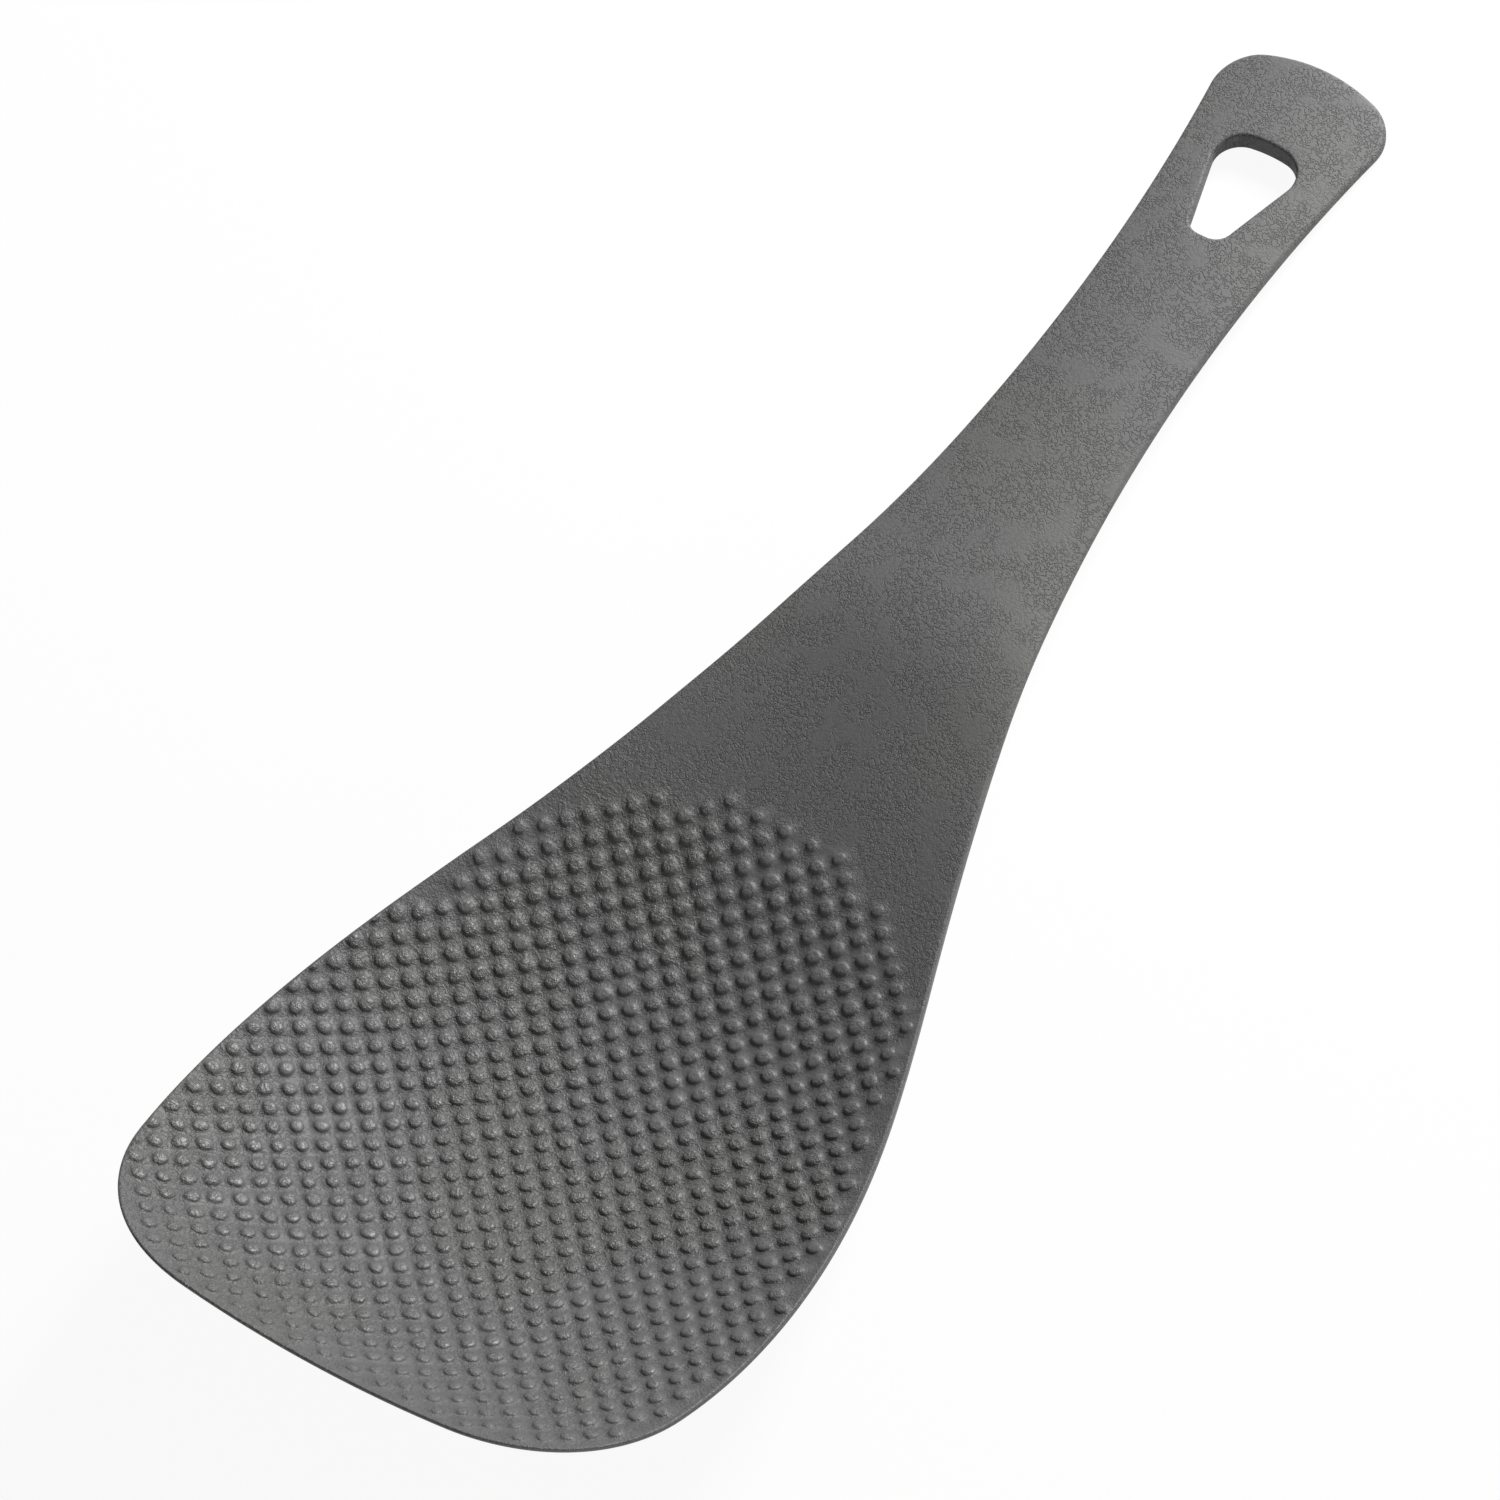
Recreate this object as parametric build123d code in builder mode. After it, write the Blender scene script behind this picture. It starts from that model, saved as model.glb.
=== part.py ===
"""Rice paddle: one injection moulding, a dished blade, a slim neck and a crowned handle.

The moulding is drawn as it sits in its mould: X runs from the blade's tip to the handle's end,
Z is the way the mould opens, and the middle of the blade lies level. At the end it is laid down
on a table, where it touches with the belly of the dish and with the end of the handle.
"""

import os
from math import asin, atan2, cos, degrees, radians, sin, tan

from build123d import *

# Plan view
length = 197.3
blade_width = 70.2
blade_corner_radius = 19.4
tip_bow = 2.1
waist_width = 17.1
handle_end_width = 22.8
handle_end_radius = 5.0
handle_end_bow = 2.4

# Side view, on the top face
dish_radius = 94.3
dish_bottom = 50.4
lip_radius = 60.0
lip_length = 16.8
dish_end = 77.9
crest_start = 107.9
crest_radius = 65.0
handle_rise = 6.4

# Hollow across the blade: how far its sides stand above its middle
rise_at_tip = 4.8
rise_at_heel = 7.0
heel = 66.9
neck_end = 128.0

# Crown across the handle, which stands higher in its middle than at its sides
crown_radius = 38.8
crown_start = 93.5
crown_end = 137.3

# Wall
tip_thickness = 0.9
handle_thickness = 2.5
rim_thinning = 0.2
least_rim = 0.75
edge_bevel = 0.25

# Hang hole: a rounded triangle, wide toward the handle's end
hole_length = 14.0
hole_wide_end = 11.5
hole_narrow_end = 4.2
hole_wide_radius = 3.2
hole_narrow_radius = 2.1
hole_bow = 1.1
hole_to_handle_end = 11.5

# Drawing aids
overrun = 3.0
handle_overrun = 1.75
outline_overrun = 1.0
rest_step = 1.0
section_count = 18
# The hollow's outline across: a parabola, with this share of it sharpened toward the sides
steep_share = 0.1
# Points of the side outline, as shares of the length and of half the blade's width
side_shares = [(0.155, 1.0), (0.289, 0.897), (0.4105, 0.671), (0.5575, 0.418), (0.684, 0.287)]
flare_shares = [(0.912, 0.269)]
waist_share = 0.808
tip_corner_share = 0.856

# Points of the plan outline's left side, from the blade's tip to the handle's end
half_width = blade_width / 2
tip_corner = (tip_bow, tip_corner_share * half_width)
end_corner = (length - handle_end_bow, handle_end_width / 2)
blade_side = [(along * length, across * half_width) for along, across in side_shares]
waist = [(waist_share * length, waist_width / 2)]
flare = [(along * length, across * half_width) for along, across in flare_shares]
left_side = [tip_corner] + blade_side + waist + flare + [end_corner]


def eased(share):
    """A smooth step from 0 to 1."""
    share = min(max(share, 0), 1)
    return share * share * (3 - 2 * share)


def arc_rise(radius, sine_from, sine_to):
    """The height gained along an arc between two slopes, given by their sines."""
    return radius * (cos(asin(sine_from)) - cos(asin(sine_to)))


def centre_height(x):
    """Height of the top face along the middle line: lip, dish, sloping neck, crest and handle."""
    lip_sine = (lip_length - dish_bottom) / dish_radius
    neck_sine = (dish_end - dish_bottom) / dish_radius
    handle_sine = sin(radians(handle_rise))
    crest_end = crest_start + crest_radius * (neck_sine - handle_sine)
    if x < lip_length:
        sine = lip_sine - (lip_length - x) / lip_radius
        return arc_rise(dish_radius, 0, lip_sine) + arc_rise(lip_radius, lip_sine, sine)
    if x < dish_end:
        return arc_rise(dish_radius, 0, (x - dish_bottom) / dish_radius)
    height = arc_rise(dish_radius, 0, neck_sine)
    height += (min(x, crest_start) - dish_end) * tan(asin(neck_sine))
    sine = max(neck_sine - max(x - crest_start, 0) / crest_radius, handle_sine)
    height -= arc_rise(crest_radius, neck_sine, sine)
    return height + max(x - crest_end, 0) * tan(radians(handle_rise))


def hollow(x):
    """1 where the section is dished, falling to 0 where the handle begins."""
    return 1 - eased((x - heel) / (neck_end - heel))


def outline_reach(x):
    """Half the width of the plan outline, taken straight from each of its points to the next."""
    x = min(max(x, left_side[0][0]), left_side[-1][0])
    for near, far in zip(left_side, left_side[1:]):
        if x <= far[0]:
            return near[1] + (far[1] - near[1]) * (x - near[0]) / (far[0] - near[0])


def crowned(x):
    """0 where the section is dished, growing to 1 where the handle has its full crown.

    A wide outline gets less of it, so that the crown leaves the rim its wall.
    """
    full_drop = outline_reach(x) ** 2 / (2 * crown_radius)
    spare_wall = wall(x, 0) - least_rim
    return min(eased((x - crown_start) / (crown_end - crown_start)), spare_wall / full_drop)


def dished_height(x, y):
    """Height of the top face before it is crowned."""
    across = (y / (blade_width / 2)) ** 2
    side_rise = rise_at_tip + (rise_at_heel - rise_at_tip) * min(max(x, 0), heel) / heel
    bow = (1 - steep_share) * across + steep_share * across**2
    return centre_height(x) + side_rise * hollow(x) * bow


def top_height(x, y):
    """Height of the top face."""
    return dished_height(x, y) - crowned(x) * y**2 / (2 * crown_radius)


def wall(x, y):
    """Thickness of the wall before it is crowned, thin at the tip and along the blade's sides."""
    along = min(max(x, 0) / neck_end, 1)
    middle = tip_thickness + (handle_thickness - tip_thickness) * along
    return middle - rim_thinning * hollow(x) * (y / (blade_width / 2)) ** 2


def under_height(x, y):
    """Height of the underside, which is flat across the handle."""
    return dished_height(x, y) - wall(x, y)


def face_poles(x, height):
    """Poles of the curve across a face: an even quartic, so one Bezier with five of them."""
    handle_reach = handle_end_width / 2 + handle_overrun
    reach = handle_reach + (blade_width / 2 + overrun - handle_reach) * hollow(x)
    reach = max(reach, outline_reach(x) + outline_overrun)
    rim = height(x, reach) - height(x, 0)
    halfway = height(x, reach / 2) - height(x, 0)
    square = (16 * halfway - rim) / 3
    quartic = rim - square
    half = [(-reach, square + quartic), (-reach / 2, -quartic), (0, quartic - square / 3)]
    poles = half + [(-y, z) for y, z in reversed(half[:2])]
    return [(y, height(x, 0) + z) for y, z in poles]


# The plan outline, from the tip round to the handle's end, mirrored about the middle line
right_side = [(x, -y) for x, y in reversed(left_side)]

with BuildSketch() as plan:
    with BuildLine():
        ThreePointArc(right_side[-1], (0, 0), left_side[0])
        Spline(*left_side)
        ThreePointArc(left_side[-1], (length, 0), right_side[0])
        Spline(*right_side)
    make_face()
    fillet(plan.vertices().sort_by(Axis.X)[:2], blade_corner_radius)
    fillet(plan.vertices().sort_by(Axis.X)[-2:], handle_end_radius)

# The hang hole's outline
hole_end = length - hole_to_handle_end
hole_start = hole_end - hole_length
with BuildSketch() as hang_hole:
    with BuildLine():
        ThreePointArc(
            (hole_end - hole_bow, hole_wide_end / 2),
            (hole_end, 0),
            (hole_end - hole_bow, -hole_wide_end / 2),
        )
        Polyline(
            (hole_end - hole_bow, -hole_wide_end / 2),
            (hole_start, -hole_narrow_end / 2),
            (hole_start, hole_narrow_end / 2),
            (hole_end - hole_bow, hole_wide_end / 2),
        )
    make_face()
    fillet(hang_hole.vertices().sort_by(Axis.X)[:2], hole_narrow_radius)
    fillet(hang_hole.vertices().sort_by(Axis.X)[-2:], hole_wide_radius)

# The moulding: a dished sheet cut to the outline, its edges bevelled, with its hole
section_step = (length + 2 * overrun) / section_count
with BuildPart() as moulding:
    for section in range(section_count + 1):
        x = section * section_step - overrun
        top = face_poles(x, top_height)
        under = face_poles(x, under_height)
        with BuildSketch(Plane.YZ.offset(x)):
            with BuildLine():
                Bezier(*top)
                Line(top[-1], under[-1])
                Bezier(*reversed(under))
                Line(under[0], top[0])
            make_face()
    loft()
    add(plan.sketch)
    extrude(amount=length, both=True, mode=Mode.INTERSECT)
    add(hang_hole.sketch)
    extrude(amount=length, both=True, mode=Mode.SUBTRACT)
    chamfer(moulding.edges().filter_by(Axis.Z, reverse=True), edge_bevel)

# Laid down: the line from the handle's end that touches the belly of the dish becomes level
end_x = length - edge_bevel
belly = [dish_bottom + i * rest_step for i in range(int((neck_end - dish_bottom) / rest_step))]
rest_tilt = degrees(max(atan2(under_height(end_x, 0) - under_height(x, 0), end_x - x) for x in belly))
footprint = moulding.part.rotate(Axis.Y, rest_tilt).bounding_box()

with BuildPart() as paddle:
    with Locations((-footprint.center().X, 0, -footprint.min.Z)):
        add(moulding.part, rotation=(0, rest_tilt, 0))

os.makedirs("parts", exist_ok=True)
paddle.part.label = "paddle"
export_step(paddle.part, "parts/paddle.step")
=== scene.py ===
"""Rice paddle of one moulding: a dished blade with small bumps, a slim neck and a crowned handle.

Lengths are in metres. The moulding is worked out as it sits in its mould: X runs from the blade's
tip to the handle's end, and Z is the way the mould opens. It is then laid down as the CAD node
lies.
"""

from math import asin, atan2, cos, pi, radians, sin, tan

import bpy
import numpy as np
from bpy.props import (
    FloatProperty,
    FloatVectorProperty,
    IntProperty,
    PointerProperty,
    StringProperty,
)
from mathutils import Matrix, Vector
from mathutils.geometry import delaunay_2d_cdt
from mathutils.kdtree import KDTree


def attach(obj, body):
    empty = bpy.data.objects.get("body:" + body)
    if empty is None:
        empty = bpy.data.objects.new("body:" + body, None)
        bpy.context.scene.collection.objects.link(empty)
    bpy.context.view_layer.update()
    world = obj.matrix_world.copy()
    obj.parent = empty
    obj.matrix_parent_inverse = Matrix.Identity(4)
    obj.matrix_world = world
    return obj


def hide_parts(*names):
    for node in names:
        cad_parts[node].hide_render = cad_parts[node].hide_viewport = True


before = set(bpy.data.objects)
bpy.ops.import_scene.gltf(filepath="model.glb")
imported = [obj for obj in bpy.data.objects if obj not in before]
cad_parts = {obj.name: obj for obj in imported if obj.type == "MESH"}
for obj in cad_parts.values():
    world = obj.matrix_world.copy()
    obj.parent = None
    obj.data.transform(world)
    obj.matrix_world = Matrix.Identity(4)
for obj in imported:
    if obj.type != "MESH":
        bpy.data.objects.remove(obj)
bpy.context.view_layer.update()

bl_info = {
    "name": "Rice Paddle",
    "version": (1, 0, 0),
    "blender": (4, 5, 0),
    "location": "View3D > Sidebar > Paddle",
    "description": "Builds a moulded rice paddle and the stage that it lies on",
    "category": "Add Mesh",
}

MM = 0.001
# Points of the side outline, as shares of the length and of half the blade's width
SIDE_SHARES = [(0.155, 1.0), (0.289, 0.897), (0.4105, 0.671), (0.5575, 0.418), (0.684, 0.287)]
FLARE_SHARES = [(0.912, 0.269)]
WAIST_SHARE = 0.808
TIP_CORNER_SHARE = 0.856
# Outlines: their fine step, the points of a rounded corner, and the step of the mesh
LINE_STEP = 0.05 * MM
CORNER_POINTS = 60
RIM_STEP = 0.45 * MM
# Edges: rows of points round one, and the most of the wall that the rounding takes on each side
EDGE_ROWS = 6
ROUNDED_SHARE = 0.49
# How far the rim stays inside the CAD node's
INSET = 0.01 * MM
# Faces: rings on a bump, as shares of its foot, their points, and the grid of points off the bumps
RINGS = (0.35, 0.6, 0.78, 0.9, 0.97, 1.0, 1.06)
RING_POINTS = 16
GRID_STEP = 1.6 * MM
GRID_LENGTH = 200 * MM
GRID_HALF_WIDTH = 40 * MM
# The least from a point inside a face to its edge
EDGE_GAP = 0.12 * MM
# Profile of a bump: more flatness makes its top flatter, and less steepness its foot steeper
DOME_FLATNESS = 3.6
DOME_STEEPNESS = 0.6
# The step over which the slope of the face is measured
SLOPE_STEP = 0.01 * MM
# Places along the belly that are tried for the one on which the moulding rests
BELLY_STEPS = 200


def size(name, description, default):
    """A length that a user can change."""
    return FloatProperty(
        name=name, description=description, default=default, unit="LENGTH", precision=4
    )


def angle(name, description, default):
    """An angle that a user can change."""
    return FloatProperty(name=name, description=description, default=default, subtype="ANGLE")


def share(name, description, default):
    """A part of a whole, from 0 to 1."""
    return FloatProperty(
        name=name, description=description, default=default, min=0, max=1, subtype="FACTOR"
    )


def colour(name, description, default):
    """A colour written as a web colour, such as #808080."""
    return StringProperty(name=name, description=description, default=default, maxlen=7)


def power(name, description, default):
    """The power of a light, in watts."""
    return FloatProperty(name=name, description=description, default=default, subtype="POWER")


def place(name, description, default):
    """A place on the stage."""
    return FloatVectorProperty(
        name=name, description=description, default=default, subtype="XYZ", precision=5
    )


class PaddleForm(bpy.types.PropertyGroup):
    """The shape of the moulding: the same sizes as in the CAD source."""

    length: size("Length", "From the tip to the handle's end, in the mould", 197.3 * MM)
    blade_width: size("Blade width", "Widest part of the blade", 70.2 * MM)
    blade_corner_radius: size("Blade corner", "Round of the blade's corners", 19.4 * MM)
    tip_bow: size("Tip bow", "How far the tip curves out", 2.1 * MM)
    waist_width: size("Waist width", "Narrowest part of the handle", 17.1 * MM)
    handle_end_width: size("Handle end width", "Width across the end of the handle", 22.8 * MM)
    handle_end_radius: size("Handle end corner", "Round of the end's corners", 5 * MM)
    handle_end_bow: size("Handle end bow", "How far the end curves out", 2.4 * MM)
    hole_length: size("Hole length", "Length of the hang hole", 14 * MM)
    hole_wide_end: size("Hole wide end", "Width toward the end of the handle", 11.5 * MM)
    hole_narrow_end: size("Hole narrow end", "Width toward the blade", 4.2 * MM)
    hole_wide_radius: size("Hole wide corner", "Round of the wide end's corners", 3.2 * MM)
    hole_narrow_radius: size("Hole narrow corner", "Round of the narrow end's corners", 2.1 * MM)
    hole_bow: size("Hole bow", "How far the wide end curves out", 1.1 * MM)
    hole_to_handle_end: size("Hole to end", "From the hole to the handle's end", 11.5 * MM)
    dish_radius: size("Dish radius", "Curve of the dish along its middle line", 94.3 * MM)
    dish_bottom: size("Dish bottom", "From the tip to the lowest point of the dish", 50.4 * MM)
    lip_radius: size("Lip radius", "Curve of the lip at the tip", 60 * MM)
    lip_length: size("Lip length", "From the tip to where the dish starts", 16.8 * MM)
    dish_end: size("Dish end", "From the tip to where the neck starts", 77.9 * MM)
    crest_start: size("Crest start", "From the tip to where the neck meets the handle", 107.9 * MM)
    crest_radius: size("Crest radius", "Curve that leads into the handle", 65 * MM)
    handle_rise: angle("Handle rise", "Slope of the handle in the mould", radians(6.4))
    rise_at_tip: size("Side rise at tip", "How far the sides stand above the middle", 4.8 * MM)
    rise_at_heel: size("Side rise at heel", "How far the sides stand above the middle", 7 * MM)
    heel: size("Heel", "From the tip to where the hollow starts to fade", 66.9 * MM)
    neck_end: size("Neck end", "From the tip to where the hollow is gone", 128 * MM)
    steep_share: share("Steep share", "Part of the hollow that is sharpened to the sides", 0.1)
    crown_radius: size("Crown radius", "Curve across the top of the handle", 38.8 * MM)
    crown_start: size("Crown start", "From the tip to where the crown starts", 93.5 * MM)
    crown_end: size("Crown end", "From the tip to where the handle has its full crown", 137.3 * MM)
    tip_thickness: size("Tip thickness", "Wall at the tip", 0.9 * MM)
    handle_thickness: size("Handle thickness", "Wall of the handle", 2.5 * MM)
    rim_thinning: size("Rim thinning", "How much thinner the blade is along its sides", 0.2 * MM)
    edge_bevel: size("Edge bevel", "Bevel of the edges in the CAD source", 0.25 * MM)
    edge_rounding: size("Edge rounding", "Round of the edges", 0.4 * MM)


class PaddleBumps(bpy.types.PropertyGroup):
    """The bumps that keep rice from sticking to the blade."""

    pitch: size("Pitch", "Between two bumps of a square grid that stands on its corner", 2.5 * MM)
    radius: size("Radius", "Half of a bump's foot", 0.87 * MM)
    height: size("Height", "Top of a bump above the face", 0.28 * MM)
    first_row: size("First row", "From the tip to the first bump", 2.5 * MM)
    left_margin: size("Left margin", "Plain left border, under 0 where it cuts bumps", -0.4 * MM)
    right_margin: size("Right margin", "Plain right border", 1.2 * MM)
    tip_margin: size("Tip margin", "Plain border along the tip", 1.6 * MM)
    arch_radius: size("Arch radius", "Curve that ends the bumps at the neck", 28 * MM)
    field_length: size("Field length", "From the tip to the last bump", 88.4 * MM)
    growth_length: size("Growth length", "From the tip to where the bumps reach full size", 12 * MM)
    arch_growth: size("Arch growth", "From the arch to where the bumps reach full size", 4 * MM)
    small_share: share("Small share", "Size of the bumps at tip and arch, of the full size", 0.75)
    flat_share: share("Flat share", "Height of the bumps at tip and arch, of the full height", 0.7)
    unevenness: share("Unevenness", "How much the bumps differ in height and width", 0.1)
    waver: share("Waver", "How far a bump's foot is from round", 0.06)
    wander: size("Wander", "How far a bump stands from its place in the grid", 0.12 * MM)
    seed: IntProperty(name="Seed", description="Start of the random differences", default=7)


class PaddleFinish(bpy.types.PropertyGroup):
    """The look of the moulded surface. Levels are values of a noise, which runs from 0 to 1."""

    base: colour("Plastic", "Colour of the plastic", "#5A5A5A")
    # painted sheen: the handle's colour is painted paler for the sheen that its grain scatters
    handle: colour("Handle", "Colour of the handle, where its grain scatters the light", "#5F5F5F")
    handle_start: size("Handle start", "Place along the paddle where that colour starts", 0.0)
    handle_fade: size("Handle fade", "Length over which that colour comes in", 35 * MM)
    # painted shade: the pits' colour is painted darker for the shade that falls in them
    pit_shade: colour("Pits", "Colour in the pits of the grain", "#4A4A4A")
    # painted sheen: the bumps' tops are painted paler for the sheen that they catch
    top: colour("Tops", "Colour of the bumps' tops, which are rubbed paler", "#636362")
    # painted sheen: top_start and top_full set where on a bump the painted sheen starts and is
    # strongest
    top_start: share("Top start", "Share of a bump's height where the rubbing starts", 0.5)
    top_full: share("Top full", "Share of a bump's height where it is rubbed most", 0.95)
    tint: colour("Tint", "Colour of the faint warm patches", "#63624F")
    tint_start: share("Tint start", "Level where the tint starts", 0.5)
    tint_full: share("Tint full", "Level of the most tint", 0.75)
    tint_most: share("Most tint", "The most that the tint replaces of the colour", 0.07)
    roughness: share("Roughness", "Micro roughness of neck and handle", 0.58)
    blade_roughness: share("Blade roughness", "Micro roughness of the more polished blade", 0.5)
    top_roughness: share("Top roughness", "Micro roughness of the bumps' rubbed tops", 0.38)
    sheen_level: share(
        "Sheen level", "Specular level, under the usual 0.5 as fine grain swallows the sheen", 0.25
    )
    ior: FloatProperty(
        name="IOR", description="Index of refraction of nylon", default=1.53, min=1, max=3
    )
    grain: size("Grain", "Distance between the furrows of the grain", 0.65 * MM)
    grain_depth: size("Grain depth", "Depth of the grain", 0.04 * MM)
    furrow_width: share("Furrow width", "Half the range of levels that a furrow takes", 0.08)
    grain_patch: size("Grain patch", "Size of the patches with more and less grain", 4 * MM)
    grain_low: share("Grain low", "Level of the least grain", 0.33)
    grain_full: share("Grain full", "Level of the full grain", 0.52)
    grain_least: share("Least grain", "Strength of the least grain, of the full strength", 0.3)
    grain_start: size("Grain start", "Place along the paddle where the full grain starts", 5 * MM)
    grain_fade: size("Grain fade", "Length over which the grain fades toward the blade", 30 * MM)
    blade_grain: share("Blade grain", "Strength of the blade's grain, of the full strength", 0.65)
    lump: size("Lump", "Size of the uneven spots on the blade", 0.6 * MM)
    lump_depth: size("Lump depth", "Depth of the uneven spots", 0.12 * MM)
    lump_low: share("Lump low", "Level of the least uneven areas", 0.4)
    lump_full: share("Lump full", "Level of the most uneven areas", 0.6)
    lump_least: share("Least lumps", "Strength of the spots in the least uneven areas", 0.3)
    wrinkle: size("Wrinkle", "Distance between the fine raised wrinkles on the blade", 0.8 * MM)
    wrinkle_width: share("Wrinkle width", "Half the range of levels that a wrinkle takes", 0.07)
    wrinkle_share: share("Wrinkle share", "Height of the wrinkles, of the depth of the spots", 0.3)
    patch: size("Patch", "Size of the tinted patches and of the more uneven areas", 25 * MM)


class PaddleStage(bpy.types.PropertyGroup):
    """Floor, lights and camera."""

    floor: colour("Floor", "Colour of the floor", "#F0F0F0")
    lift: share("Lift", "How much of the floor is plain white where it is seen directly", 0.93)
    floor_width: size("Floor width", "Side of the square floor", 6.0)
    key_power: power("Key power", "Power of the key light", 6.15)
    key_place: place("Key place", "Where the key light hangs", (0.495, -0.035, 0.265))
    key_width: size("Key width", "Side of the square key light", 0.2)
    fill_power: power("Fill power", "Power of the fill light", 2.0)
    fill_place: place("Fill place", "Where the fill light hangs", (-0.4, -0.5, 0.1))
    fill_width: size("Fill width", "Side of the square fill light", 0.3)
    sky: share("Sky", "Brightness of the soft light from all round", 0.16)
    camera_place: place("Camera place", "Where the camera stands", (-0.36699, -0.36345, 0.89756))
    camera_turn: FloatVectorProperty(
        name="Camera turn",
        description="Rotation of the camera",
        default=(radians(29.255), radians(7.401), radians(-57.027)),
        subtype="EULER",
    )
    camera_lens: FloatProperty(
        name="Lens", description="Focal length", default=230.03, unit="CAMERA"
    )
    camera_reach: size("Camera reach", "How far the camera sees", 10.0)


# Shape of the moulding, in its mould


def eased(part):
    """A smooth step from 0 to 1."""
    part = np.clip(part, 0, 1)
    return part * part * (3 - 2 * part)


def arc_rise(radius, sine_from, sine_to):
    """The height gained along an arc between two slopes, given by their sines."""
    return radius * (np.sqrt(1 - sine_from**2) - np.sqrt(1 - sine_to**2))


def centre_height(form, x):
    """Height of the top face along the middle line: lip, dish, sloping neck, crest and handle."""
    lip_sine = (form.lip_length - form.dish_bottom) / form.dish_radius
    neck_sine = (form.dish_end - form.dish_bottom) / form.dish_radius
    handle_sine = sin(form.handle_rise)
    crest_end = form.crest_start + form.crest_radius * (neck_sine - handle_sine)
    tip_sine = lip_sine - np.maximum(form.lip_length - x, 0) / form.lip_radius
    dish_sine = np.clip((x - form.dish_bottom) / form.dish_radius, lip_sine, neck_sine)
    past_crest = np.maximum(x - form.crest_start, 0)
    crest_sine = np.maximum(neck_sine - past_crest / form.crest_radius, handle_sine)
    return (
        arc_rise(form.dish_radius, 0, dish_sine)
        + arc_rise(form.lip_radius, lip_sine, tip_sine)
        + np.clip(x - form.dish_end, 0, form.crest_start - form.dish_end) * tan(asin(neck_sine))
        - arc_rise(form.crest_radius, neck_sine, crest_sine)
        + np.maximum(x - crest_end, 0) * tan(form.handle_rise)
    )


def hollow(form, x):
    """1 where the section is dished, falling to 0 where the handle begins."""
    return 1 - eased((x - form.heel) / (form.neck_end - form.heel))


def crown_drop(form, x, y):
    """How far the crowned handle falls away from its middle."""
    crowned = eased((x - form.crown_start) / (form.crown_end - form.crown_start))
    return crowned * y**2 / (2 * form.crown_radius)


def dished_height(form, x, y):
    """Height of the top face before it is crowned."""
    across = (y / (form.blade_width / 2)) ** 2
    toward_heel = np.clip(x / form.heel, 0, 1)
    side_rise = form.rise_at_tip + (form.rise_at_heel - form.rise_at_tip) * toward_heel
    bow = (1 - form.steep_share) * across + form.steep_share * across**2
    return centre_height(form, x) + side_rise * hollow(form, x) * bow


def top_height(form, x, y):
    """Height of the top face, without its bumps."""
    return dished_height(form, x, y) - crown_drop(form, x, y)


def under_height(form, x, y):
    """Height of the underside: the wall is thin at the tip and along the blade's sides."""
    along = np.clip(x / form.neck_end, 0, 1)
    middle = form.tip_thickness + (form.handle_thickness - form.tip_thickness) * along
    wall = middle - form.rim_thinning * hollow(form, x) * (y / (form.blade_width / 2)) ** 2
    return dished_height(form, x, y) - wall


def rest_tilt(form):
    """The turn about Y that lays the moulding on its belly and on the end of its handle."""
    end = form.length - form.edge_bevel
    belly = np.linspace(form.dish_bottom, form.neck_end, BELLY_STEPS)
    drop = under_height(form, end, 0.0) - under_height(form, belly, 0.0)
    return float(np.arctan2(drop, end - belly).max())


# Outlines in plan, each worked out for its left half and mirrored


def curve_through(corners):
    """Points along the smooth curve through the corners, as a flexible ruler would lie.

    Each end runs on like the cubic through the four corners nearest to it.
    """
    corners = np.array(corners)
    gap = np.hypot(*np.diff(corners, axis=0).T)
    at = np.append(0, np.cumsum(gap))
    slope = np.diff(corners, axis=0) / gap[:, None]
    system, wanted = np.eye(len(at)), np.zeros_like(corners)
    for i in range(1, len(at) - 1):
        system[i, i - 1 : i + 2] = 1 / gap[i - 1], 2 / gap[i - 1] + 2 / gap[i], 1 / gap[i]
        wanted[i] = 3 * (slope[i - 1] / gap[i - 1] + slope[i] / gap[i])
    for end, near in ((0, slice(0, 4)), (-1, slice(-4, None))):
        cube, square, line, _ = np.polyfit(at[near], corners[near], 3)
        wanted[end] = 3 * cube * at[end] ** 2 + 2 * square * at[end] + line
    course = np.linalg.solve(system, wanted)
    along = np.arange(0, at[-1], LINE_STEP)
    piece = np.searchsorted(at, along, side="right") - 1
    full = gap[piece][:, None]
    part = (along - at[piece])[:, None] / full
    hold = eased(part)
    lead = part * (1 - part)
    straight = corners[piece] * (1 - hold) + corners[piece + 1] * hold
    return straight + full * lead * (course[piece] * (1 - part) - course[piece + 1] * part)


def arc_through(first, peak):
    """Points of the arc from first to its peak, which lies on the middle line."""
    rise, half = peak[0] - first[0], first[1]
    radius = (half**2 + rise**2) / (2 * rise)
    turn = np.arange(0, asin(half / abs(radius)), LINE_STEP / abs(radius))
    arc = np.stack([peak[0] - radius * (1 - np.cos(turn)), abs(radius) * np.sin(turn)], 1)
    return arc[::-1]


def line_to(first, last):
    """Points of a straight line."""
    first, last = np.array(first), np.array(last)
    count = int(np.hypot(*(last - first)) / LINE_STEP)
    return first + (last - first) * np.linspace(0, 1, count)[:, None]


def inward(line):
    """Directions to the right of a line that runs round the outline's left half."""
    course = np.gradient(line, axis=0)
    return np.stack([course[:, 1], -course[:, 0]], 1) / np.hypot(*course.T)[:, None]


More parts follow.
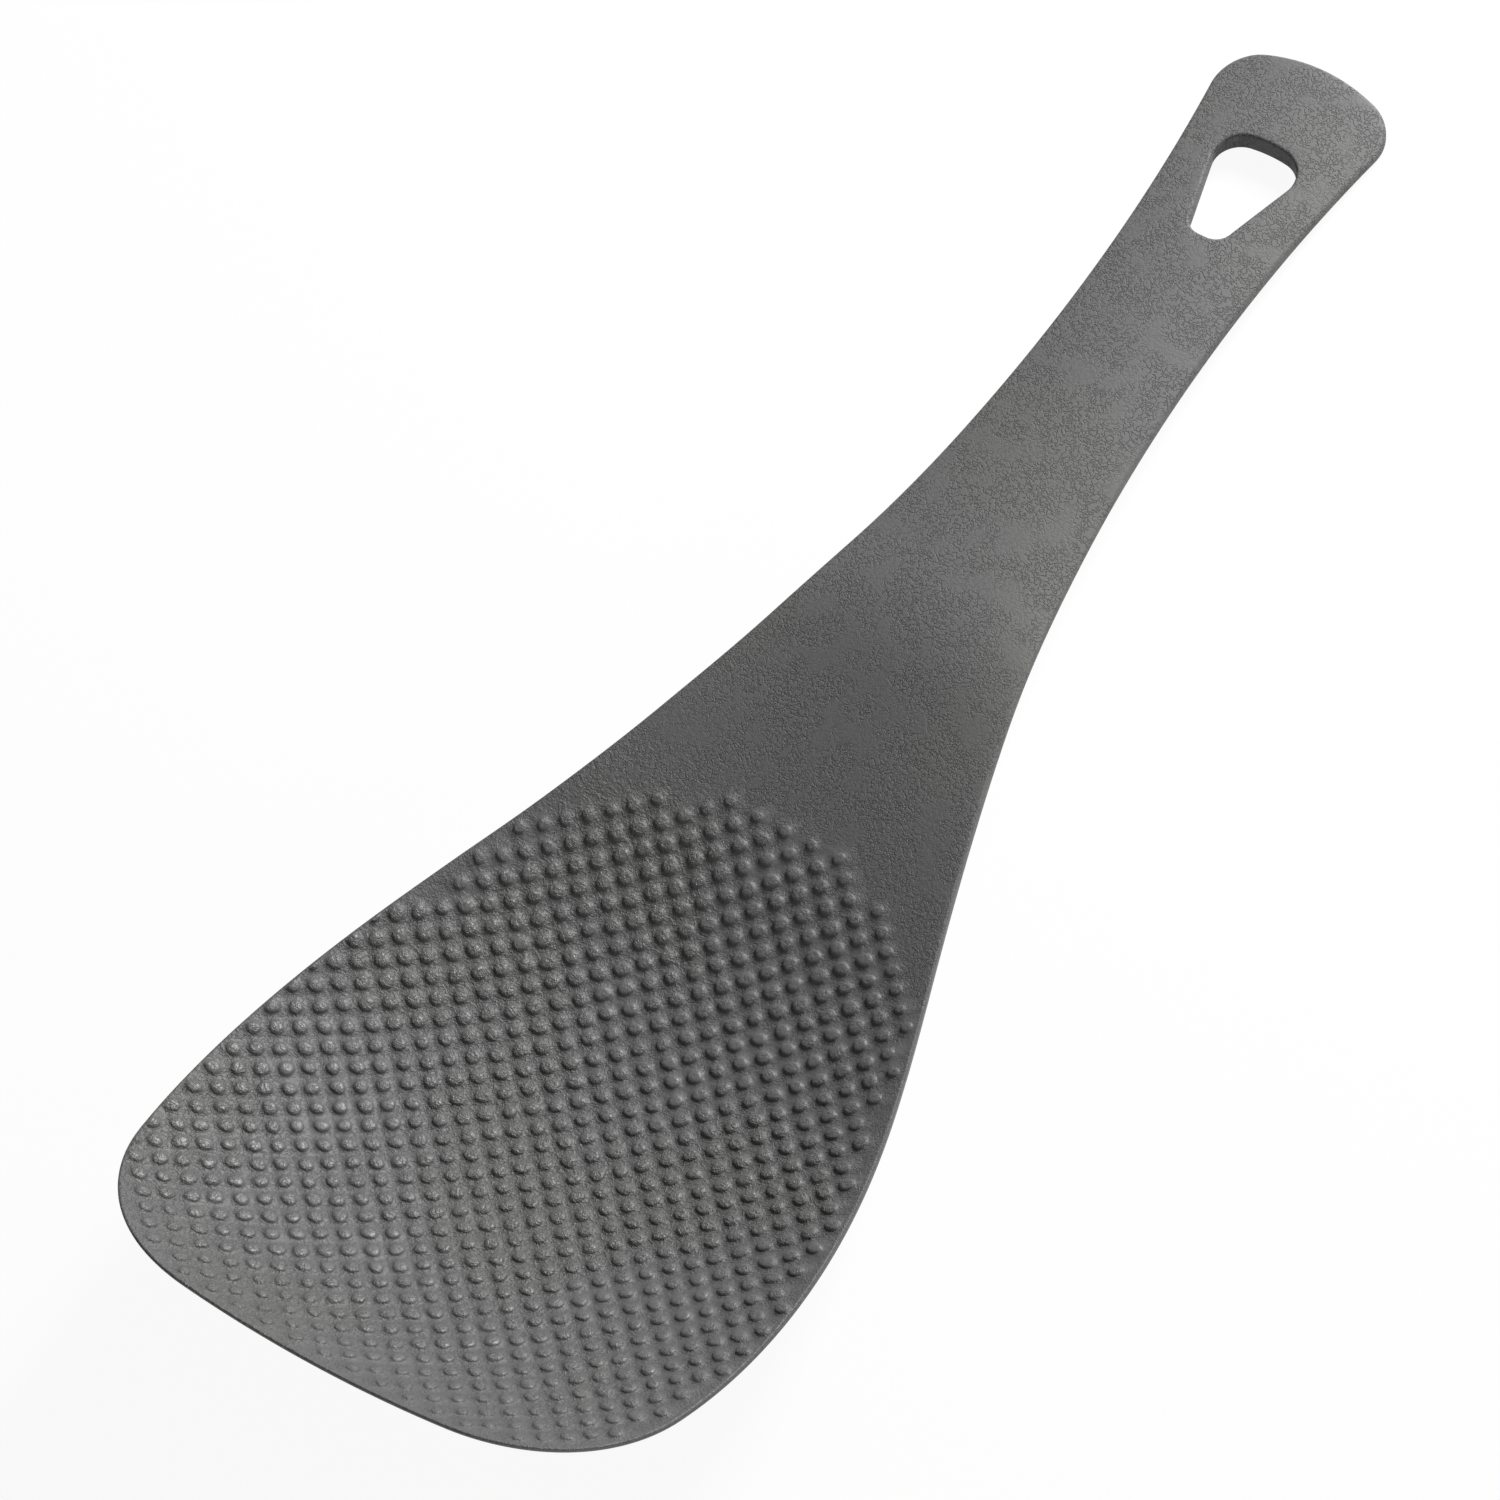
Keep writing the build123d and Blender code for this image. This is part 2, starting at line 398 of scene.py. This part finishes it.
def rounded(first, second, radius):
    """Two lines joined by an arc of this radius, with the corner between them cut off."""
    first_middle = first + inward(first) * radius
    second_middle = second + inward(second) * radius
    gaps = np.hypot(*(first_middle[:, None] - second_middle[None]).transpose(2, 0, 1))
    i, j = np.unravel_index(gaps.argmin(), gaps.shape)
    middle = first_middle[i]
    start, end = (atan2(*(point - middle)[::-1]) for point in (first[i], second[j]))
    turn = np.linspace(start, end, CORNER_POINTS)[1:-1]
    arc = middle + radius * np.stack([np.cos(turn), np.sin(turn)], 1)
    return np.vstack([first[: i + 1], arc, second[j:]])


def closed_round(half):
    """Even points on the closed outline of this left half, and the directions out of it."""
    whole = np.vstack([half[half[:, 1] > 0], (half * (1, -1))[half[:, 1] > 0][::-1]])
    whole = np.vstack([whole, whole[:1]])[::-1]
    along = np.append(0, np.cumsum(np.hypot(*np.diff(whole, axis=0).T)))
    even = np.linspace(0, along[-1], round(along[-1] / RIM_STEP), endpoint=False)
    points = np.stack([np.interp(even, along, whole[:, axis]) for axis in (0, 1)], 1)
    course = np.roll(points, -1, 0) - np.roll(points, 1, 0)
    out = np.stack([course[:, 1], -course[:, 0]], 1)
    return points, out / np.hypot(*out.T)[:, None]


def rim_half(form):
    """The left half of the paddle's outline, from the tip to the handle's end."""
    half_width = form.blade_width / 2
    tip_corner = (form.tip_bow, TIP_CORNER_SHARE * half_width)
    end_corner = (form.length - form.handle_end_bow, form.handle_end_width / 2)
    side = [(along * form.length, across * half_width) for along, across in SIDE_SHARES]
    waist = (WAIST_SHARE * form.length, form.waist_width / 2)
    flare = [(along * form.length, across * half_width) for along, across in FLARE_SHARES]
    tip = arc_through(tip_corner, (0, 0))[::-1]
    end = arc_through(end_corner, (form.length, 0))
    left_side = curve_through([tip_corner, *side, waist, *flare, end_corner])
    outline = rounded(tip, left_side, form.blade_corner_radius)
    return rounded(outline, end, form.handle_end_radius)


def hole_half(form):
    """The left half of the hang hole's outline."""
    hole_end = form.length - form.hole_to_handle_end
    hole_start = hole_end - form.hole_length
    narrow = (hole_start, form.hole_narrow_end / 2)
    wide = (hole_end - form.hole_bow, form.hole_wide_end / 2)
    start, side = line_to((hole_start, 0), narrow), line_to(narrow, wide)
    outline = rounded(start, side, form.hole_narrow_radius)
    return rounded(outline, arc_through(wide, (hole_end, 0)), form.hole_wide_radius)


# Bumps


class BumpGrid:
    """The bumps of the blade: where they stand, and how high the face is with them.

    Its rows a and its rows b run at 45 degrees to the paddle. Rows 0 of both cross in the first
    place on the middle line.
    """

    def __init__(self, bumps, form, rim, rim_out):
        self.bumps = bumps
        self.step = bumps.pitch / np.sqrt(2)
        self.reach = int(bumps.field_length / self.step) + 2
        self.arch_middle = bumps.field_length - bumps.arch_radius
        chance = np.random.default_rng(bumps.seed)
        count = 2 * self.reach + 1
        shape = (count, count, 2)
        self.uneven = 1 + bumps.unevenness * np.clip(chance.normal(size=shape), -2, 2) / 2
        self.astray = bumps.wander * np.clip(chance.normal(size=shape), -2, 2) / 2
        self.phase = chance.uniform(0, 2 * pi, shape)
        numbers = np.arange(-self.reach, self.reach + 1)
        a, b = (rows.ravel() for rows in np.meshgrid(numbers, numbers))
        inside = self.in_field(a, b, form, rim, rim_out)
        self.sites = np.array(sorted(zip(a[inside].tolist(), b[inside].tolist())))
        self.present = np.zeros((count, count), bool)
        self.present[a[inside] + self.reach, b[inside] + self.reach] = True

    def in_field(self, a, b, form, rim, rim_out):
        """Whether these places lie inside the borders of the bumps."""
        x, y = self.place(a, b)
        inside = (x > 0) & (x < self.bumps.field_length) & (abs(y) < form.blade_width / 2)
        from_middle = np.hypot(x - self.arch_middle, y)
        inside &= (x < self.arch_middle) | (from_middle < self.bumps.arch_radius)
        depth, near = depths(x[inside], y[inside], rim, rim_out)
        # The plain border goes over from a side's to the tip's as the rim turns toward the tip
        tip = np.clip(-rim_out[near][:, 0], 0, 1) ** 2
        side = np.where(y[inside] > 0, self.bumps.left_margin, self.bumps.right_margin)
        inside[inside] = depth > side + (self.bumps.tip_margin - side) * tip
        return inside

    def entry(self, table, a, b):
        """What a table says of the places a and b."""
        return table[a + self.reach, b + self.reach]

    def place(self, a, b):
        """Where these bumps stand."""
        astray_x, astray_y = self.entry(self.astray, a, b).T
        return self.bumps.first_row + (a + b) * self.step + astray_x, (a - b) * self.step + astray_y

    def nearest(self, x, y):
        """The place in the grid nearest to each of these points."""
        u, v = (x - self.bumps.first_row) / self.step, y / self.step
        a, b = np.rint((u + v) / 2).astype(int), np.rint((u - v) / 2).astype(int)
        return np.clip(a, -self.reach, self.reach), np.clip(b, -self.reach, self.reach)

    def grown(self, a, b):
        """0 for the smallest bumps, at the tip and along the arch, and 1 for those of full size."""
        x, y = self.place(a, b)
        past = np.maximum(x - self.arch_middle, 0)
        from_arch = self.bumps.arch_radius - np.hypot(past, y * (past > 0))
        growth = np.minimum(x / self.bumps.growth_length, from_arch / self.bumps.arch_growth)
        return np.clip(growth, 0, 1)

    def radius(self, a, b, turn):
        """How far the foot of a bump reaches this way: less near the tip, and never quite round."""
        oval, kidney = self.entry(self.phase, a, b).T
        waver = self.bumps.waver * (np.sin(2 * turn + oval) + np.sin(3 * turn + kidney) / 2)
        growth = self.bumps.small_share + (1 - self.bumps.small_share) * self.grown(a, b)
        return self.bumps.radius * growth * self.entry(self.uneven, a, b)[..., 0] * (1 + waver)

    def height(self, x, y):
        """How far the bumps stand above the face at these points."""
        a, b = self.nearest(x, y)
        site_x, site_y = self.place(a, b)
        turn = np.arctan2(y - site_y, x - site_x)
        apart = np.hypot(x - site_x, y - site_y) / self.radius(a, b, turn)
        top = self.bumps.height * self.entry(self.uneven, a, b)[..., 1]
        top = top * (self.bumps.flat_share + (1 - self.bumps.flat_share) * self.grown(a, b))
        return top * self.entry(self.present, a, b) * dome(apart)


def dome(apart):
    """Height of a bump, 1 high over a foot of radius 1: flat on top and steep at its foot."""
    return np.maximum(1 - apart**DOME_FLATNESS, 0) ** DOME_STEEPNESS


def depths(x, y, rim, rim_out):
    """How deep these points lie inside the rim, and the nearest point of the rim to each."""
    tree = KDTree(len(rim))
    for index, point in enumerate(rim):
        tree.insert((*point, 0), index)
    tree.balance()
    near = np.array([tree.find((*point, 0))[1] for point in zip(x.tolist(), y.tolist())], int)
    gap = rim[near] - np.stack([x, y], 1)
    return (gap * rim_out[near]).sum(1), near


# Mesh of the moulding


class Skin:
    """The points and faces of a mesh, and how high up a bump each point is, from 0 to 1."""

    def __init__(self):
        self.points = np.empty((0, 3))
        self.bumpy = np.empty(0)
        self.faces = []

    def add(self, points, bumpy=0.0):
        """Adds points and returns their numbers in the mesh."""
        first = len(self.points)
        self.points = np.vstack([self.points, points])
        self.bumpy = np.append(self.bumpy, np.broadcast_to(bumpy, len(points)))
        return np.arange(first, len(self.points))

    def cover(self, numbers, triangles, on_top):
        """Adds triangles between these points, with their outer side up on top and down below."""
        turned = triangles if on_top else [face[::-1] for face in triangles]
        self.faces += [tuple(int(numbers[i]) for i in face) for face in turned]

    def band(self, first, second, forward):
        """Adds the faces between two closed rows of points."""
        quads = zip(first, np.roll(first, -1), np.roll(second, -1), second)
        self.faces += [tuple(int(i) for i in (quad[::-1] if forward else quad)) for quad in quads]


def edge_rows(form, line, out, on_top):
    """Rows of points that round an edge, from the face out to the wall."""
    height, side = (top_height, -1) if on_top else (under_height, 1)
    wall = top_height(form, *line.T) - under_height(form, *line.T)
    radius = np.minimum(form.edge_rounding, wall * ROUNDED_SHARE)
    rows = []
    for turn in np.linspace(0, pi / 2, EDGE_ROWS):
        spot = line - out * (radius * (1 - sin(turn)) + INSET)[:, None]
        level = height(form, *spot.T) + side * radius * (1 - cos(turn))
        rows.append(np.column_stack([spot, level]))
    return rows


def filled(loops, inner):
    """Triangles that fill a face between its loops, through the inner points."""
    corners = np.vstack([loop[:, :2] for loop in loops] + [inner])
    edges, start = [], 0
    for loop in loops:
        edges += [(start + i, start + (i + 1) % len(loop)) for i in range(len(loop))]
        start += len(loop)
    inside_of_edges, tolerance = 2, 1e-6
    in_mm = [Vector(corner) for corner in (corners / MM).tolist()]
    found = delaunay_2d_cdt(in_mm, edges, [], inside_of_edges, tolerance)
    origin = [min(sources) for sources in found[3]]
    triangles = [tuple(origin[i] for i in face) for face in found[2]]
    # Triangles with all their corners on the hole's loop would close the hole
    hole = range(len(loops[0]), start)
    return corners, [face for face in triangles if not all(i in hole for i in face)]


def bump_points(grid):
    """Points on and between the bumps: the middle and the rings of each, and the gap beyond it."""
    site_x, site_y = grid.place(*grid.sites.T)
    x, y = [site_x], [site_y]
    for ring, apart in enumerate(RINGS):
        for turn in (np.arange(RING_POINTS) + ring % 2 / 2) * pi / (RING_POINTS / 2):
            reach = grid.radius(*grid.sites.T, turn) * apart
            x.append(site_x + reach * cos(turn))
            y.append(site_y + reach * sin(turn))
    return np.concatenate([*x, site_x + grid.step]), np.concatenate([*y, site_y])


def face_points(grid, loops, outs, on_top):
    """Points inside a face: those of the bumps, and an even grid elsewhere."""
    along = np.arange(0, GRID_LENGTH, GRID_STEP)
    across = np.arange(-GRID_HALF_WIDTH, GRID_HALF_WIDTH, GRID_STEP)
    x, y = (rows.ravel() for rows in np.meshgrid(along, across))
    if on_top:
        clear = ~grid.entry(grid.present, *grid.nearest(x, y))
        bumps_x, bumps_y = bump_points(grid)
        x, y = np.append(bumps_x, x[clear]), np.append(bumps_y, y[clear])
    depth, _ = depths(x, y, np.vstack([loop[:, :2] for loop in loops]), np.vstack(outs))
    inside = depth > EDGE_GAP
    return np.stack([x[inside], y[inside]], 1)


def add_side(skin, form, grid, lines, outs, on_top):
    """Adds the top face or the underside with its rounded edges, and returns its outermost rows."""
    rows = [edge_rows(form, line, out, on_top) for line, out in zip(lines, outs)]
    loops = [group[0] for group in rows]
    corners, triangles = filled(loops, face_points(grid, loops, outs, on_top))
    height = top_height if on_top else under_height
    bare = np.column_stack([corners, height(form, *corners.T)])
    extra = grid.height(*corners.T) * on_top
    numbers = skin.add(raised(form, bare, extra), extra / grid.bumps.height)
    skin.cover(numbers, triangles, on_top)
    ends, start = [], 0
    for number, group in enumerate(rows):
        previous = numbers[start : start + len(group[0])]
        start += len(group[0])
        for row in group[1:]:
            here = skin.add(row)
            skin.band(previous, here, on_top == (number == 0))
            previous = here
        ends.append(previous)
    return ends


def moulding_skin(form, bumps):
    """The whole moulding as one closed skin, laid down as the CAD node lies."""
    rim, rim_out = closed_round(rim_half(form))
    hole, hole_out = closed_round(hole_half(form))
    lines, outs = [rim, hole], [rim_out, -hole_out]
    grid = BumpGrid(bumps, form, rim, rim_out)
    skin = Skin()
    top_ends = add_side(skin, form, grid, lines, outs, True)
    under_ends = add_side(skin, form, grid, lines, outs, False)
    for number, (top_end, under_end) in enumerate(zip(top_ends, under_ends)):
        skin.band(top_end, under_end, number == 0)
    skin.points = laid_down(form, skin.points)
    return skin


def raised(form, points, extra):
    """The points of a face, each moved this far out from it, square to the top face."""
    x, y, _ = points.T
    run = 2 * SLOPE_STEP
    slope_x = (top_height(form, x + SLOPE_STEP, y) - top_height(form, x - SLOPE_STEP, y)) / run
    slope_y = (top_height(form, x, y + SLOPE_STEP) - top_height(form, x, y - SLOPE_STEP)) / run
    normal = np.column_stack([-slope_x, -slope_y, np.ones(len(x))])
    normal /= np.sqrt((normal**2).sum(1))[:, None]
    return points + normal * extra[:, None]


def laid_down(form, points):
    """The points turned from the mould to where the CAD node lies on the floor."""
    tilt = rest_tilt(form)
    turned = points @ np.array(Matrix.Rotation(tilt, 3, "Y")).T
    low, high = turned.min(0), turned.max(0)
    return turned - ((low[0] + high[0]) / 2, 0, low[2])


# Materials


def linear(web_colour):
    """A web colour as the linear colour that the nodes take."""
    parts = [int(web_colour[i : i + 2], 16) / 255 for i in (1, 3, 5)]
    return [c / 12.92 if c <= 0.04045 else ((c + 0.055) / 1.055) ** 2.4 for c in parts] + [1.0]


def new_material(name):
    """A material without nodes, and its node tree."""
    material = bpy.data.materials.new(name)
    material.use_nodes = True
    material.node_tree.nodes.clear()
    return material, material.node_tree


def add_node(tree, kind, settings=None, **inputs):
    """Adds a node with its settings, and sets or links its inputs by name."""
    node = tree.nodes.new(kind)
    for name, value in (settings or {}).items():
        setattr(node, name, value)
    for name, value in inputs.items():
        socket = node.inputs[int(name[1:]) if name[1:].isdigit() else name.replace("_", " ")]
        if isinstance(value, bpy.types.NodeSocket):
            tree.links.new(value, socket)
        else:
            socket.default_value = value
    return node


def calculated(tree, operation, first, second=0.0):
    """The result of a calculation with one or two numbers."""
    node = add_node(tree, "ShaderNodeMath", {"operation": operation}, _0=first, _1=second)
    return node.outputs["Value"]


def ramped(tree, value, low, high, at_low=0.0, at_high=1.0, course="SMOOTHSTEP"):
    """A number that goes from at_low to at_high while the value goes from low to high."""
    node = add_node(
        tree,
        "ShaderNodeMapRange",
        {"interpolation_type": course},
        Value=value,
        From_Min=low,
        From_Max=high,
        To_Min=at_low,
        To_Max=at_high,
    )
    return node.outputs["Result"]


def mixed(tree, part, first, second):
    """The first colour, with this part of it replaced by the second."""
    # The mix node has its colours at inputs 6 and 7 and at output 2
    node = add_node(tree, "ShaderNodeMix", {"data_type": "RGBA"}, Factor=part, _6=first, _7=second)
    return node.outputs[2]


def noise(tree, spot, spacing, detail, roughness=0.5):
    """The level of a noise whose spots are this far apart."""
    node = add_node(
        tree,
        "ShaderNodeTexNoise",
        Vector=spot,
        Scale=1 / spacing,
        Detail=detail,
        Roughness=roughness,
    )
    return node.outputs["Fac"]


def threads(tree, level, width, strength=1.0):
    """Fine lines where a noise is at its middle level: this strength on them, and 0 beside them."""
    apart = calculated(tree, "ABSOLUTE", calculated(tree, "SUBTRACT", level, 0.5))
    return ramped(tree, apart, 0.0, width, strength, 0.0)


def moulded_nylon(finish):
    """Nylon moulded in a spark-eroded steel mould.

    The mould leaves a fine leathery grain of pits, which breaks the light into a mottled grey, and
    the plastic itself has the low, broad sheen of nylon. Some light and shade is painted into the
    colour: the shade in the pits, the sheen on the bumps' tops and the sheen that the handle's
    grain scatters.
    """
    material, tree = new_material("Moulded nylon")
    spot = add_node(tree, "ShaderNodeTexCoord").outputs["Object"]
    along = add_node(tree, "ShaderNodeSeparateXYZ", Vector=spot).outputs["X"]
    blade_end = finish.grain_start - finish.grain_fade
    handle_sheen_full = finish.handle_start + finish.handle_fade
    on_blade = ramped(tree, along, blade_end, finish.grain_start, 1.0, 0.0)
    handle_sheen_mask = ramped(tree, along, finish.handle_start, handle_sheen_full)
    areas = noise(tree, spot, finish.patch, 1.0)

    # The furrows of such a grain are about 0.1 mm apart. They are drawn about six times as coarse,
    # so that they show
    furrows = threads(tree, noise(tree, spot, finish.grain, 2.0, 0.6), finish.furrow_width)
    patches = noise(tree, spot, finish.grain_patch, 2.0)
    patchy = ramped(tree, patches, finish.grain_low, finish.grain_full, finish.grain_least)
    fade = ramped(tree, along, blade_end, finish.grain_start, finish.blade_grain)
    grain = calculated(tree, "MULTIPLY", furrows, calculated(tree, "MULTIPLY", patchy, fade))

    # The bumps' tops are smoother than the ground, and painted paler for the sheen that they catch
    bumpy = add_node(tree, "ShaderNodeAttribute", {"attribute_name": "bump"}).outputs["Fac"]
    top_gloss_and_painted_sheen = ramped(tree, bumpy, finish.top_start, finish.top_full)

    # Painted sheen: the handle is painted paler for the sheen that its grain scatters
    ground = mixed(tree, handle_sheen_mask, linear(finish.base), linear(finish.handle))
    # Painted sheen: the bumps' tops are painted paler for the sheen that they catch
    plain = mixed(tree, top_gloss_and_painted_sheen, ground, linear(finish.top))
    # Painted shade: the furrows of the grain are painted darker for the shade in them
    pit_shaded = mixed(tree, grain, plain, linear(finish.pit_shade))
    warm = ramped(tree, areas, finish.tint_start, finish.tint_full, 0.0, finish.tint_most, "LINEAR")
    tinted = mixed(tree, warm, pit_shaded, linear(finish.tint))

    # The blade is polished in the mould, but comes out uneven and finely wrinkled, so that its
    # bumps glint in spots
    wrinkles = threads(
        tree, noise(tree, spot, finish.wrinkle, 1.0), finish.wrinkle_width, finish.wrinkle_share
    )
    relief = calculated(tree, "ADD", noise(tree, spot, finish.lump, 2.0), wrinkles)
    uneven = ramped(tree, areas, finish.lump_low, finish.lump_full, finish.lump_least)
    lumps = calculated(tree, "MULTIPLY", relief, calculated(tree, "MULTIPLY", uneven, on_blade))

    pitted = add_node(
        tree,
        "ShaderNodeBump",
        Distance=finish.grain_depth,
        Strength=1.0,
        Height=calculated(tree, "MULTIPLY", grain, -1.0),
    )
    lumpy = add_node(
        tree,
        "ShaderNodeBump",
        Distance=finish.lump_depth,
        Strength=1.0,
        Height=lumps,
        Normal=pitted.outputs["Normal"],
    )
    blade = ramped(tree, top_gloss_and_painted_sheen, 0.0, 1.0, finish.blade_roughness, finish.top_roughness, "LINEAR")
    shader = add_node(
        tree,
        "ShaderNodeBsdfPrincipled",
        Base_Color=tinted,
        Roughness=ramped(tree, on_blade, 0.0, 1.0, finish.roughness, blade, "LINEAR"),
        IOR=finish.ior,
        Specular_IOR_Level=finish.sheen_level,
        Normal=lumpy.outputs["Normal"],
    )
    add_node(tree, "ShaderNodeOutputMaterial", Surface=shader.outputs["BSDF"])
    return material


def painted_floor(stage):
    """A matt painted board, which seen directly is white outside the shadow."""
    material, tree = new_material("Painted board")
    path = add_node(tree, "ShaderNodeLightPath")
    seen = calculated(tree, "MAXIMUM", path.outputs["Is Camera Ray"], path.outputs["Is Glossy Ray"])
    matt = add_node(tree, "ShaderNodeBsdfDiffuse", Color=linear(stage.floor))
    white = add_node(tree, "ShaderNodeEmission")
    both = add_node(
        tree,
        "ShaderNodeMixShader",
        _0=calculated(tree, "MULTIPLY", seen, stage.lift),
        _1=matt.outputs["BSDF"],
        _2=white.outputs["Emission"],
    )
    add_node(tree, "ShaderNodeOutputMaterial", Surface=both.outputs["Shader"])
    return material


# Operators


class PADDLE_OT_moulding(bpy.types.Operator):
    """Builds the paddle's moulding in place of the plain CAD node"""

    bl_idname = "paddle.moulding"
    bl_label = "Build moulding"

    def execute(self, context):
        scene = context.scene
        skin = moulding_skin(scene.paddle_form, scene.paddle_bumps)
        mesh = bpy.data.meshes.new("paddle_moulding")
        mesh.from_pydata(skin.points.tolist(), [], skin.faces)
        mesh.attributes.new("bump", "FLOAT", "POINT").data.foreach_set("value", skin.bumpy)
        mesh.validate()
        mesh.shade_smooth()
        moulding = bpy.data.objects.new("paddle_moulding", mesh)
        scene.collection.objects.link(moulding)
        mesh.materials.append(moulded_nylon(scene.paddle_finish))
        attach(moulding, "root")
        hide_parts("paddle")
        return {"FINISHED"}


class PADDLE_OT_stage(bpy.types.Operator):
    """Sets up the floor, the lights and the camera"""

    bl_idname = "paddle.stage"
    bl_label = "Set up stage"

    def execute(self, context):
        scene = context.scene
        stage = scene.paddle_stage
        half = stage.floor_width / 2
        corners = [(-half, -half, 0), (half, -half, 0), (half, half, 0), (-half, half, 0)]
        board = bpy.data.meshes.new("floor")
        board.from_pydata(corners, [], [(0, 1, 2, 3)])
        board.materials.append(painted_floor(stage))
        floor = bpy.data.objects.new("floor", board)
        scene.collection.objects.link(floor)

        for name in ("key", "fill"):
            lamp = bpy.data.lights.new(name, "AREA")
            lamp.energy = getattr(stage, f"{name}_power")
            lamp.size = getattr(stage, f"{name}_width")
            light = bpy.data.objects.new(name, lamp)
            light.location = getattr(stage, f"{name}_place")
            light.rotation_euler = light.location.to_track_quat("Z", "Y").to_euler()
            scene.collection.objects.link(light)

        world = bpy.data.worlds.new("studio")
        world.use_nodes = True
        tree = world.node_tree
        tree.nodes.clear()
        seen = add_node(tree, "ShaderNodeLightPath").outputs["Is Camera Ray"]
        strength = ramped(tree, seen, 0.0, 1.0, stage.sky, 1.0, "LINEAR")
        sky = add_node(tree, "ShaderNodeBackground", Strength=strength)
        add_node(tree, "ShaderNodeOutputWorld", Surface=sky.outputs["Background"])
        scene.world = world

        lens = bpy.data.cameras.new("camera")
        lens.lens = stage.camera_lens
        lens.clip_end = stage.camera_reach
        camera = bpy.data.objects.new("camera", lens)
        camera.location = stage.camera_place
        camera.rotation_euler = stage.camera_turn
        scene.collection.objects.link(camera)
        scene.camera = camera
        scene.view_settings.view_transform = "Standard"
        return {"FINISHED"}


class PADDLE_PT_panel(bpy.types.Panel):
    """Lists the steps that build the paddle"""

    bl_idname = "PADDLE_PT_panel"
    bl_label = "Rice Paddle"
    bl_space_type = "VIEW_3D"
    bl_region_type = "UI"
    bl_category = "Paddle"

    def draw(self, context):
        for operator in OPERATORS:
            self.layout.operator(operator.bl_idname)
        for name in GROUPS:
            group = getattr(context.scene, name)
            box = self.layout.box()
            for setting in group.__annotations__:
                box.prop(group, setting)


OPERATORS = (PADDLE_OT_moulding, PADDLE_OT_stage)
GROUPS = {
    "paddle_form": PaddleForm,
    "paddle_bumps": PaddleBumps,
    "paddle_finish": PaddleFinish,
    "paddle_stage": PaddleStage,
}


def register():
    """Registers the classes and hangs the settings on the scene."""
    for cls in (*GROUPS.values(), *OPERATORS, PADDLE_PT_panel):
        bpy.utils.register_class(cls)
    for name, group in GROUPS.items():
        setattr(bpy.types.Scene, name, PointerProperty(type=group))


def unregister():
    """Takes the settings and the classes away again."""
    for name in GROUPS:
        delattr(bpy.types.Scene, name)
    for cls in (PADDLE_PT_panel, *OPERATORS, *GROUPS.values()):
        bpy.utils.unregister_class(cls)


def main():
    """Builds the whole scene."""
    register()
    bpy.ops.paddle.moulding()
    bpy.ops.paddle.stage()


if __name__ == "__main__":
    main()
